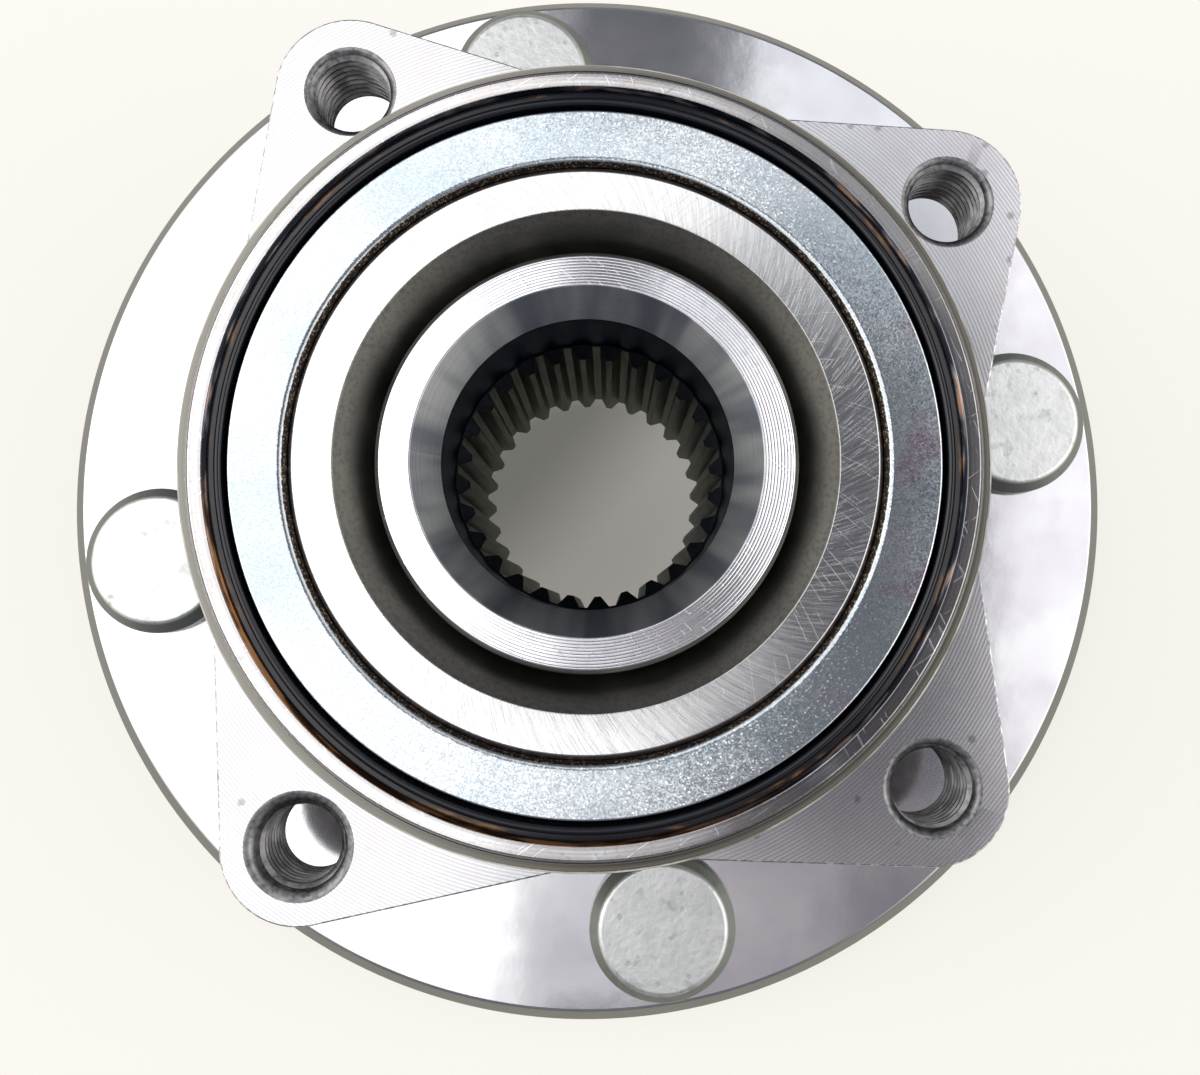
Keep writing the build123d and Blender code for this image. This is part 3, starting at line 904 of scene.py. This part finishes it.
def broach():
    """The prisms that a broach cuts out: one tapered space, repeated round the bore and pulled through."""
    bm = bmesh.new()
    pitch_line_r = spline_minor_r + spline_tooth / 2
    start_r = spline_minor_r - 0.5 * mm
    end_r = spline_minor_r + spline_tooth
    half = math.pi * pitch_line_r / spline_count / 2
    start_half = half + (pitch_line_r - start_r) * flank
    end_half = half - (end_r - pitch_line_r) * flank
    corners = [bm.verts.new((radius, side, 0)) for radius, side in
               ((start_r, -start_half), (end_r, -end_half), (end_r, end_half), (start_r, start_half))]
    space = bm.faces.new(corners)
    bmesh.ops.translate(bm, verts=bm.verts, vec=(0, 0, nut_seat - past))
    pulled = bmesh.ops.extrude_face_region(bm, geom=[space], use_keep_orig=True)
    far = [v for v in pulled["geom"] if isinstance(v, bmesh.types.BMVert)]
    bmesh.ops.translate(bm, verts=far, vec=(0, 0, spline_top + past - nut_seat))
    turn = 2 * math.pi / spline_count
    bmesh.ops.spin(bm, geom=bm.verts[:] + bm.edges[:] + bm.faces[:], cent=(0, 0, 0), axis=(0, 0, 1),
                   dvec=(0, 0, 0), angle=2 * math.pi - turn, steps=spline_count - 1, use_duplicate=True)
    bmesh.ops.recalc_face_normals(bm, faces=bm.faces)
    return bm


combine(hub, "DIFFERENCE", as_object(broach(), "broach"))
print("splined hub", len(hub.data.polygons))

# %% Stud holes
knurl_r = 6.4 * mm


def stud_hole():
    over = flange_top + past
    return turned([(0, -past), (knurl_r, -past), (knurl_r, over), (0, over)], {1: 0, 2: 0}, steps=64)


combine(hub, "DIFFERENCE", as_object(gather([moved(stud_hole(), place) for place in stud_places]), "drill"))
print("drilled hub", len(hub.data.polygons))

# %% [markdown]
# ### Finishes of the hub
# The flange is satin and clouded, and its rim is dull. The spindle's end face keeps the lathe's rings
# and falls 0.5 mm outwards, which spreads what it mirrors. The bore's cone shows broad soft sweeps,
# partly painted reflections. Deeper down, the plain bore and the tooth ends are painted near black as
# shade, and the teeth are painted lighter towards their lower end as painted light.

# %% Finishes of the hub
def satin_flange():
    finish = Finish("satin_flange")
    climb = finish.radius + finish.height
    rings = finish.line_noise(climb, 0.7 * mm, 2)
    cloud = finish.noise(14 * mm, 2)
    smear = finish.noise(5 * mm, 3)
    fine = finish.noise(0.5 * mm, 2)
    steel = finish.mix(cloud.step(0.3, 0.7), (0.74, 0.735, 0.76), (0.88, 0.88, 0.89))
    steel = finish.mix(smear.step(0.48, 0.7) * 0.3, steel, (0.68, 0.63, 0.68))
    steel = finish.mix(rings * 0.08, steel, (0.6, 0.6, 0.61))
    rim = finish.radius.step(flange_r - flange_chamfer_r - 0.1 * mm, flange_r - flange_chamfer_r + 0.1 * mm)
    steel = finish.mix(rim * 0.94, steel, (0.17, 0.17, 0.15))
    roughness = 0.1 + smear * 0.06 + rim * 0.25
    relief = finish.bump(cloud, 0.07 * mm)
    relief = finish.bump(smear, 0.014 * mm, relief)
    relief = finish.bump(fine, 0.0015 * mm, relief)
    return finish.close(steel, roughness, relief)


def spindle_rings():
    finish = Finish("spindle_rings")
    wander = finish.radius + finish.noise(9 * mm) * 0.06 * mm
    uneven = finish.line_noise(finish.radius, 0.9 * mm, 1)
    lines = (1 - wander.wave(0.34 * mm) ** 3) * (0.35 + uneven)
    smudge = finish.noise(1.5 * mm, 3).step(0.5, 0.7)
    scratches = finish.hairs(-40, 5 * mm, 0.35 * mm, 0.66)
    steel = finish.mix(lines, (0.78, 0.78, 0.8), (0.9, 0.9, 0.915))
    steel = finish.mix(smudge * 0.25, steel, (0.55, 0.57, 0.68))
    steel = finish.mix(scratches * 0.7, steel, (0.96, 0.96, 0.97))
    relief = finish.bump(lines, 0.011 * mm)
    relief = finish.bump(scratches, 0.006 * mm, relief)
    return finish.close(steel, 0.16 + smudge * 0.06, relief)


def bored_cone():
    finish = Finish("bored_cone")
    rings = finish.line_noise(finish.radius + finish.height, 0.3 * mm, 2)
    around = finish.vector(finish.angle * 17 * mm, finish.radius * 0.3)
    # The sweeps are painted reflections in the colour, and also a bump.
    painted_reflection_sweep = finish.noise(4.5 * mm, 2, where=around)
    steel = finish.mix(painted_reflection_sweep.step(0.35, 0.62), (0.22, 0.235, 0.27), (0.5, 0.51, 0.51))
    steel = finish.mix(rings.step(0.5, 0.7) * 0.2, steel, (0.2, 0.2, 0.21))
    relief = finish.bump(rings, 0.008 * mm)
    relief = finish.bump(painted_reflection_sweep, 0.04 * mm, relief)
    return finish.close(steel, 0.3 + rings * 0.08, relief)


def plain_bore():
    finish = Finish("plain_bore")
    around = finish.vector(finish.angle * 15.7 * mm, finish.height * 0.2)
    smear = finish.noise(1.6 * mm, 2, where=around)
    # Painted shade: the plain bore is painted near black, as shade deep in the bore.
    steel = finish.mix(smear.step(0.35, 0.65), (0.013, 0.015, 0.018), (0.038, 0.042, 0.046))
    return finish.close(steel, 0.34 + smear * 0.1, Specular_Tint=(0.4, 0.42, 0.46))


def broached_teeth():
    finish = Finish("broached_teeth")
    around = finish.vector(finish.angle * 14.8 * mm, finish.height * 0.05)
    pulled = finish.noise(0.5 * mm, 2, where=around)
    fine = finish.noise(0.7 * mm, 2)
    steel = finish.mix(pulled.step(0.35, 0.65), (0.09, 0.095, 0.085), (0.19, 0.195, 0.17))
    # Painted light: the teeth are painted lighter towards their lower end.
    depth = finish.height.step(nut_seat, spline_top)
    steel = finish.mix((1 - depth) * 0.6, steel, (0.28, 0.28, 0.25))
    relief = finish.bump(pulled, 0.01 * mm)
    return finish.close(steel, 0.34 + fine * 0.1, relief, Specular_Tint=(0.4, 0.41, 0.4))


def tooth_ends():
    finish = Finish("tooth_ends")
    fine = finish.noise(0.5 * mm, 2)
    # Painted shade: the tooth ends are painted near black, as shade deep in the bore.
    steel = finish.mix(fine, (0.022, 0.026, 0.036), (0.05, 0.056, 0.07))
    return finish.close(steel, 0.34 + fine * 0.1)


def hub_finish(centre, normal):
    """0 flange, 1 spindle face, 2 bore cone, 3 spline, 4 other turned faces, 5 plain bore, 6 tooth ends."""
    radius = math.hypot(centre.x, centre.y)
    if radius < bore_cone_r + 0.02 * mm and centre.z > spindle_face - bore_cone_depth:
        return 2
    if radius < plain_bore_r + 0.05 * mm and centre.z > spline_top:
        return 5
    if radius < plain_bore_r and centre.z > spline_top - 1.7 * mm and normal.z > 0.3:
        return 6
    if radius < plain_bore_r + 0.1 * mm and centre.z > nut_seat:
        return 3
    if radius < spindle_r + 0.1 * mm and centre.z > spindle_face - 2 * mm:
        return 1
    if radius > shoulder_r and centre.z > 0.05 * mm:
        return 0
    return 4


finish_piece(hub, "turning_hub", ["hub"],
             [satin_flange(), spindle_rings(), bored_cone(), broached_teeth(), steel_turned,
              plain_bore(), tooth_ends()], hub_finish)

# %% [markdown]
# ## Inner ring
# The inner ring is hardened, pressed on the spindle and ground on its face, which leaves slanted
# brush marks. Its mouth is a plain dark cone that ends in a shadow gap at the spindle.

# %% Inner ring
inner_mouth_r = spindle_r + 3.9 * mm
inner_mouth_depth = 4.8 * mm
inner_edge = 0.5 * mm
inner_race_deg = (-101, -202)


def inner_ring():
    race = arc(pitch_r, inboard_row, race_r, *inner_race_deg)
    return turned([
        (spindle_r, inner_foot), (relief_r, inner_foot), *race, (shoulder_r, inner_face - inner_edge),
        (shoulder_r - inner_edge, inner_face), (inner_mouth_r, inner_face),
        (spindle_r, inner_face - inner_mouth_depth)])


def ground_face():
    finish = Finish("ground_face")
    turn_place = finish.vector(finish.angle * 28.5 * mm, finish.radius)
    brush = finish.streaks(62, 6 * mm, 0.3 * mm, turn_place)
    strokes = finish.hairs(55, 5 * mm, 0.2 * mm, 0.57, turn_place)
    cross = finish.hairs(-62, 7 * mm, 0.2 * mm, 0.65, turn_place)
    edges = (finish.radius.step(shoulder_r - inner_edge - 0.15 * mm, shoulder_r - inner_edge)
             + finish.radius.step(inner_mouth_r + 0.12 * mm, inner_mouth_r))
    steel = finish.mix(brush.step(0.42, 0.62), (0.72, 0.72, 0.71), (0.88, 0.88, 0.87))
    steel = finish.mix(cross * 0.3, steel, (0.97, 0.97, 0.97))
    steel = finish.mix(strokes * 0.3, steel, (0.55, 0.55, 0.54))
    steel = finish.mix(edges * 0.6, steel, (0.97, 0.96, 0.93))
    relief = finish.bump(strokes + cross * 0.7, 0.0032 * mm)
    return finish.close(steel, 0.14 + brush * 0.06, relief)


def mouth_cone():
    finish = Finish("mouth_cone")
    rings = finish.line_noise(finish.radius + finish.height, 0.3 * mm, 2)
    fine = finish.noise(0.5 * mm, 3)
    cloud = finish.noise(6 * mm, 2)
    steel = finish.mix(cloud.step(0.3, 0.7), (0.05, 0.05, 0.045), (0.1, 0.098, 0.085))
    outer = finish.radius.step(inner_mouth_r - 2.2 * mm, inner_mouth_r - 0.3 * mm)
    steel = finish.mix(outer * 0.6, steel, (0.27, 0.26, 0.23))
    steel = finish.mix(fine.step(0.45, 0.65) * 0.35, steel, (0.06, 0.06, 0.055))
    relief = finish.bump(rings, 0.006 * mm)
    return finish.close(steel, 0.34 + fine * 0.1, relief)


def inner_finish(centre, normal):
    """0 ground face, 1 mouth cone, 2 other faces."""
    radius = math.hypot(centre.x, centre.y)
    if centre.z > inner_face - 0.01 * mm:
        return 0
    if radius < inner_mouth_r + 0.05 * mm and centre.z > inner_face - inner_mouth_depth:
        return 1
    return 2


ring = as_object(inner_ring(), "inner_ring_ground")
finish_piece(ring, "turning_hub", ["inner_ring"],
             [ground_face(), mouth_cone(), steel_turned], inner_finish)

# %% [markdown]
# ## Slinger
# A thin plated ring, pressed on the inner ring, that turns with it and throws water off the seal. Its
# zinc plate is spangled: tiny crystals that each catch the light at their own angle.

# %% Slinger
sheet = 0.8 * mm
slinger_bend = 1.0 * mm


def slinger():
    sleeve_r = shoulder_r + sheet
    under = slinger_top - sheet
    return turned([
        (shoulder_r, slinger_foot), (shoulder_r, slinger_top), (slinger_r, slinger_top), (slinger_r, under),
        (sleeve_r, under), (sleeve_r, slinger_foot)],
        {1: slinger_bend, 2: 0.3 * mm, 3: 0.2 * mm, 4: slinger_bend - sheet})


def zinc_plate():
    finish = Finish("zinc_plate")
    crystal = finish.cell_value(0.16 * mm)
    cloud = finish.noise(13 * mm, 2)
    tint = finish.noise(7 * mm, 1)
    zinc = finish.mix(cloud.step(0.35, 0.65), (0.58, 0.65, 0.685), (0.72, 0.76, 0.785))
    # Painted reflection: a purple tint is painted on the right side of the plate, in patches.
    painted_purple_reflection = finish.x.step(22 * mm, 32 * mm) * tint.step(0.48, 0.58)
    zinc = finish.mix(painted_purple_reflection * 0.7, zinc, (0.62, 0.48, 0.58))
    zinc = finish.mix(crystal.step(0.4, 1.0) * 0.4, zinc, (0.4, 0.45, 0.5))
    sparkle = (crystal - cloud * 0.07).step(0.035, 0.005)
    zinc = finish.mix(sparkle * 0.8, zinc, (0.96, 0.97, 0.98))
    # Painted shade, with some grime: the inner bend is painted darker, and its lowest part dark brown.
    ragged_bend_radius = finish.radius + (finish.noise(0.4 * mm, 3) - 0.5) * 0.25 * mm
    painted_bend_shade = ragged_bend_radius.step(shoulder_r + 0.85 * mm, shoulder_r + 0.55 * mm)
    zinc = finish.mix(painted_bend_shade * 0.6, zinc, (0.3, 0.32, 0.34))
    grime_and_painted_shade = ragged_bend_radius.step(shoulder_r + 0.5 * mm, shoulder_r + 0.4 * mm)
    grime_and_shade_colour = finish.mix(crystal.step(0.8, 0.9), (0.03, 0.025, 0.02), (0.26, 0.2, 0.15))
    zinc = finish.mix(grime_and_painted_shade, zinc, grime_and_shade_colour)
    return finish.close(zinc, 0.17 + crystal * 0.05 + grime_and_painted_shade * 0.25, finish.tilt(0.16 * mm, 0.065))


plate = as_object(slinger(), "slinger_plate")
finish_piece(plate, "turning_hub", ["inboard_slinger"], [zinc_plate()])

# %% [markdown]
# ## Seals
# The seal on this side is black rubber moulded on a pressed sheet case. Only its rim shows, between
# the slinger and the outer ring: a rounded bead and a flat, glossy and amber where oil has crept out.

# %% Rubber
case_sheet = 0.6 * mm
rubber_wall = 0.8 * mm
web_height = 3.1 * mm


def rubber(seat, rim, outward, sleeve_r, lip_roots, lip_reach):
    """The moulded rubber with its rim bead, its wall, its floor and its lips."""
    case_r = seal_r - case_sheet
    wall_r = case_r - rubber_wall
    web_r = shoulder_r + web_height
    web_top = seat + outward * case_sheet
    base = web_top + outward * 0.6 * mm
    cover = rim + outward * 0.3 * mm
    bead = cover + outward * 0.3 * mm
    points = [
        (case_r, rim), (seal_r, rim), (seal_r, cover), (case_r, cover), (case_r - 0.15 * mm, bead),
        (wall_r + 0.15 * mm, bead), (wall_r, cover), (wall_r, base)]
    for root_r in lip_roots:
        points += [(root_r, base), (root_r + 0.9 * mm, lip_reach), (root_r + 0.55 * mm, lip_reach),
                   (root_r - 0.8 * mm, base)]
    points += [
        (web_r - 0.6 * mm, base), (sleeve_r + 0.65 * mm, base + outward * 0.8 * mm),
        (sleeve_r + 0.3 * mm, base + outward * 0.45 * mm), (web_r - 1.4 * mm, seat), (web_r, seat),
        (web_r, web_top), (case_r, web_top)]
    return turned(points, {3: 0.05 * mm, 4: 0.22 * mm, 5: 0.22 * mm, 6: 0.1 * mm})


def black_rubber():
    finish = Finish("black_rubber")
    smear = finish.noise(3 * mm, 2)
    around = finish.vector(finish.angle * 38 * mm * 0.2, finish.radius)
    oiled = finish.noise(1.6 * mm, 2, where=around).step(0.5, 0.62)
    outside = finish.radius.step(seal_r - 0.5 * mm, seal_r - 0.38 * mm)
    streak = finish.noise(0.5 * mm, 2, where=around)
    amber = finish.mix(streak.step(0.4, 0.7), (0.02, 0.009, 0.004), (0.2, 0.1, 0.035))
    rubbed = finish.mix(oiled * outside, (0.007, 0.008, 0.012), amber)
    return finish.close(rubbed, 0.1 + smear * 0.14, metallic=0.0)


rubber_finish = black_rubber()
seal_rim = highest("inboard_seal_case")
inner_rubber = as_object(rubber(
    inboard_seat, seal_rim, 1, shoulder_r + sheet, [slinger_r - 1.7 * mm], slinger_top - sheet - 0.3 * mm),
    "seal_rubber_inboard")
finish_piece(inner_rubber, "fixed_ring", ["inboard_seal_lip"], [rubber_finish])
outer_rubber = as_object(rubber(
    outboard_seat, lowest("outboard_seal_case"), -1, shoulder_r,
    [seal_r - 2.3 * mm, shoulder_r + web_height + 0.8 * mm], flange_top + 0.3 * mm), "seal_rubber_outboard")
finish_piece(outer_rubber, "fixed_ring", ["outboard_seal_lip"], [rubber_finish])

# %% [markdown]
# ## Wheel studs
# Each stud is pressed into the flange from this side. Only its round head shows on the flange; its
# thread stands out below, and the unit rests on the four thread ends.

# %% Studs
head_r = 9.45 * mm
head_chamfer_r = 1.4 * mm
head_chamfer_z = 1.2 * mm
stud_pitch = 1.5 * mm
stud_root_r = stud_r - 0.92 * mm
tip_r = 4.8 * mm
tip_length = 2.6 * mm


def wheel_stud(place):
    """Head and knurled shank turned as one, joined to a thread that a turned envelope trims."""
    thread = as_object(winding(stud_root_r, stud_r, stud_pitch, stud_end + 1 * mm, 0), "thread")
    lead = stud_r - tip_r
    envelope = as_object(turned([
        (0, stud_end), (tip_r - lead / 2, stud_end), (tip_r, stud_end + lead / 2),
        (tip_r, stud_end + tip_length), (stud_r + 0.2 * mm, stud_end + tip_length + lead),
        (stud_r + 0.2 * mm, 1 * mm), (0, 1 * mm)], steps=48), "envelope")
    combine(thread, "INTERSECT", envelope)
    body = as_object(turned([
        (0, stud_end), (tip_r - lead / 2, stud_end), (tip_r, stud_end + lead / 2),
        (tip_r, stud_end + tip_length), (stud_root_r, stud_end + tip_length + 0.3 * mm),
        (stud_root_r, -0.4 * mm), (stud_r, 0),
        (knurl_r - 0.05 * mm, 0.4 * mm), (knurl_r - 0.05 * mm, flange_top), (head_r, flange_top),
        (head_r, stud_top - head_chamfer_z), (head_r - head_chamfer_r, stud_top), (0, stud_top)],
        {10: 0.25 * mm, 11: 0.3 * mm}, steps=96), "stud")
    combine(body, "UNION", thread)
    body.data.transform(Matrix.Translation(place))
    return body


def zinc_stud():
    finish = Finish("zinc_stud")
    blotch = finish.noise(3.2 * mm, 4, 0.6)
    small = finish.noise(0.8 * mm, 3)
    dents = finish.dots(1.3 * mm, 0.16)
    marks = finish.noise(2.4 * mm, 4, 0.6).step(0.56, 0.68)
    # Painted shade: the rounded side of each head, below its top face, is painted dark.
    side = finish.height.step(stud_top - 0.005 * mm, stud_top - 0.35 * mm)
    zinc = finish.mix(blotch.step(0.3, 0.7), (0.78, 0.8, 0.775), (0.9, 0.91, 0.895))
    zinc = finish.mix(small.step(0.55, 0.75) * 0.25, zinc, (0.58, 0.6, 0.57))
    zinc = finish.mix((marks + dents * 0.8) * 0.34, zinc, (0.24, 0.26, 0.24))
    zinc = finish.mix(side * 0.92, zinc, (0.17, 0.185, 0.16))
    thread_tone = finish.mix(small.step(0.35, 0.7), (0.46, 0.47, 0.45), (0.66, 0.67, 0.65))
    zinc = finish.mix(finish.height.step(1 * mm, 0), zinc, thread_tone)
    relief = finish.bump(blotch, 0.05 * mm)
    relief = finish.bump(small - dents * 0.6, 0.02 * mm, relief)
    return finish.close(zinc, 0.3 + small * 0.14, relief, metallic=0.9)


stud_finish = zinc_stud()
for number, place in enumerate(stud_places, 1):
    stud = wheel_stud(place)
    stud.name = f"wheel_stud_threaded_{number}"
    finish_piece(stud, "turning_hub", [f"wheel_stud_{number}"], [stud_finish])


# %% [markdown]
# ## Hidden pieces
# Balls, cages and seal cases stay as the frame gives them. They get their own finishes, because they
# show when the unit is opened up.

# %% Finishes of the hidden pieces
def lapped_ball():
    finish = Finish("lapped_ball")
    return finish.close((0.78, 0.78, 0.79), 0.07 + finish.noise(2 * mm) * 0.04)


def cage_nylon():
    finish = Finish("cage_nylon")
    flow = finish.noise(4 * mm, 2)
    return finish.close(finish.mix(flow, (0.62, 0.52, 0.35), (0.7, 0.6, 0.42)), 0.5, metallic=0.0)


def case_sheet_steel():
    finish = Finish("case_sheet_steel")
    rolled = finish.noise(1.5 * mm, 3)
    return finish.close(finish.mix(rolled, (0.3, 0.3, 0.31), (0.42, 0.42, 0.43)), 0.4)


hidden = {"_ball_": lapped_ball(), "_cage": cage_nylon(), "_seal_case": case_sheet_steel()}
for node_name, node in frame["nodes"].items():
    for word, material in hidden.items():
        if word in node_name:
            node.data.materials.clear()
            node.data.materials.append(material)
